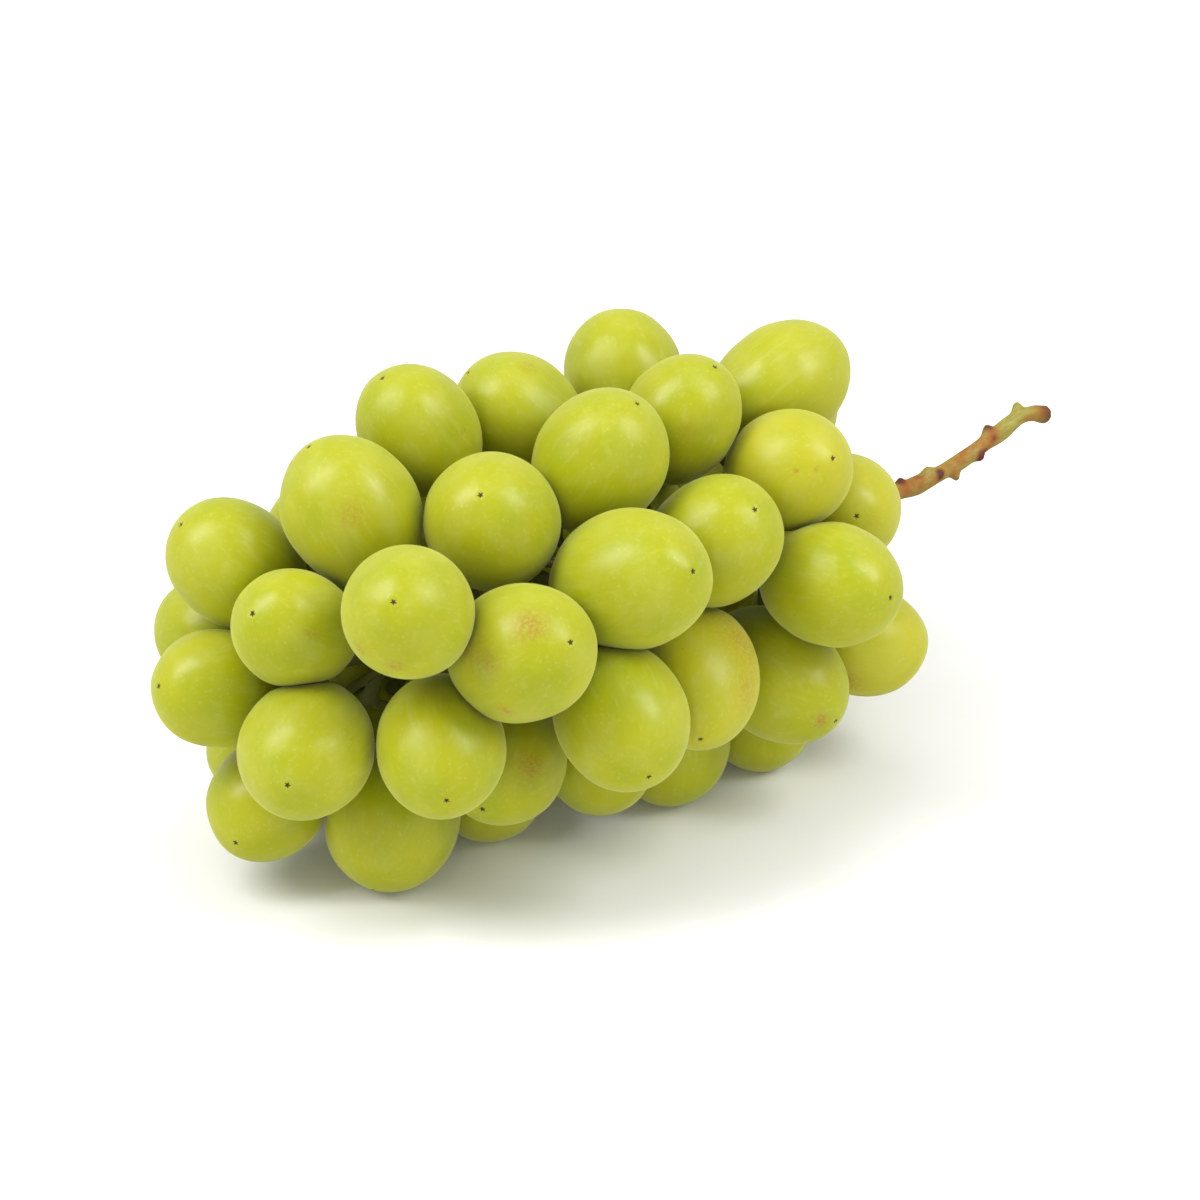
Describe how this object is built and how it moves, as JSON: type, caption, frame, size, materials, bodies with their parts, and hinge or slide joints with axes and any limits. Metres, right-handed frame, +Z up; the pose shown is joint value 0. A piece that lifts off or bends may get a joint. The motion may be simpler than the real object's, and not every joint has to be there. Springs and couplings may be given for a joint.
{
  "type": "bunch of grapes",
  "caption": "Bunch of large green oval grapes on its branching stem, lying on its side, with a short knotted bare stem at one end.",
  "frame": {"origin": "on the table, under the middle of the bunch with its stem", "axes": "+X along the bunch from its tip to the cut end of its stem, +Y across it, +Z up from the table"},
  "size_m": [0.2145, 0.1035, 0.0956],
  "materials": {
    "grape": "satin waxy skin over translucent flesh",
    "stem": "dull green bark, browned at the knots and the cut end"
  },
  "bodies": {
    "root": {"branch_01_grape_1": "grape", "branch_01_grape_2": "grape", "branch_01_grape_3": "grape", "branch_02_grape_1": "grape", "branch_02_grape_2": "grape", "branch_02_grape_3": "grape", "branch_03_grape_1": "grape", "branch_03_grape_2": "grape", "branch_03_grape_3": "grape", "branch_04_grape_1": "grape", "branch_04_grape_2": "grape", "branch_04_grape_3": "grape", "branch_04_grape_4": "grape", "branch_05_grape_1": "grape", "branch_05_grape_2": "grape", "branch_05_grape_3": "grape", "branch_05_grape_4": "grape", "branch_06_grape_1": "grape", "branch_06_grape_2": "grape", "branch_06_grape_3": "grape", "branch_07_grape_1": "grape", "branch_07_grape_2": "grape", "branch_07_grape_3": "grape", "branch_07_grape_4": "grape", "branch_08_grape_1": "grape", "branch_08_grape_2": "grape", "branch_08_grape_3": "grape", "branch_09_grape_1": "grape", "branch_09_grape_2": "grape", "branch_09_grape_3": "grape", "branch_10_grape_1": "grape", "branch_10_grape_2": "grape", "branch_10_grape_3": "grape", "branch_11_grape_1": "grape", "branch_11_grape_2": "grape", "branch_11_grape_3": "grape", "branch_12_grape_1": "grape", "branch_12_grape_2": "grape", "branch_12_grape_3": "grape", "branch_13_grape_1": "grape", "branch_13_grape_2": "grape", "branch_13_grape_3": "grape", "branch_13_grape_4": "grape", "branch_14_grape_1": "grape", "branch_14_grape_2": "grape", "branch_14_grape_3": "grape", "branch_15_grape_1": "grape", "branch_15_grape_2": "grape", "branch_16_grape_1": "grape", "branch_16_grape_2": "grape", "branch_16_grape_3": "grape", "stem": "stem"}
  },
  "joints": []
}
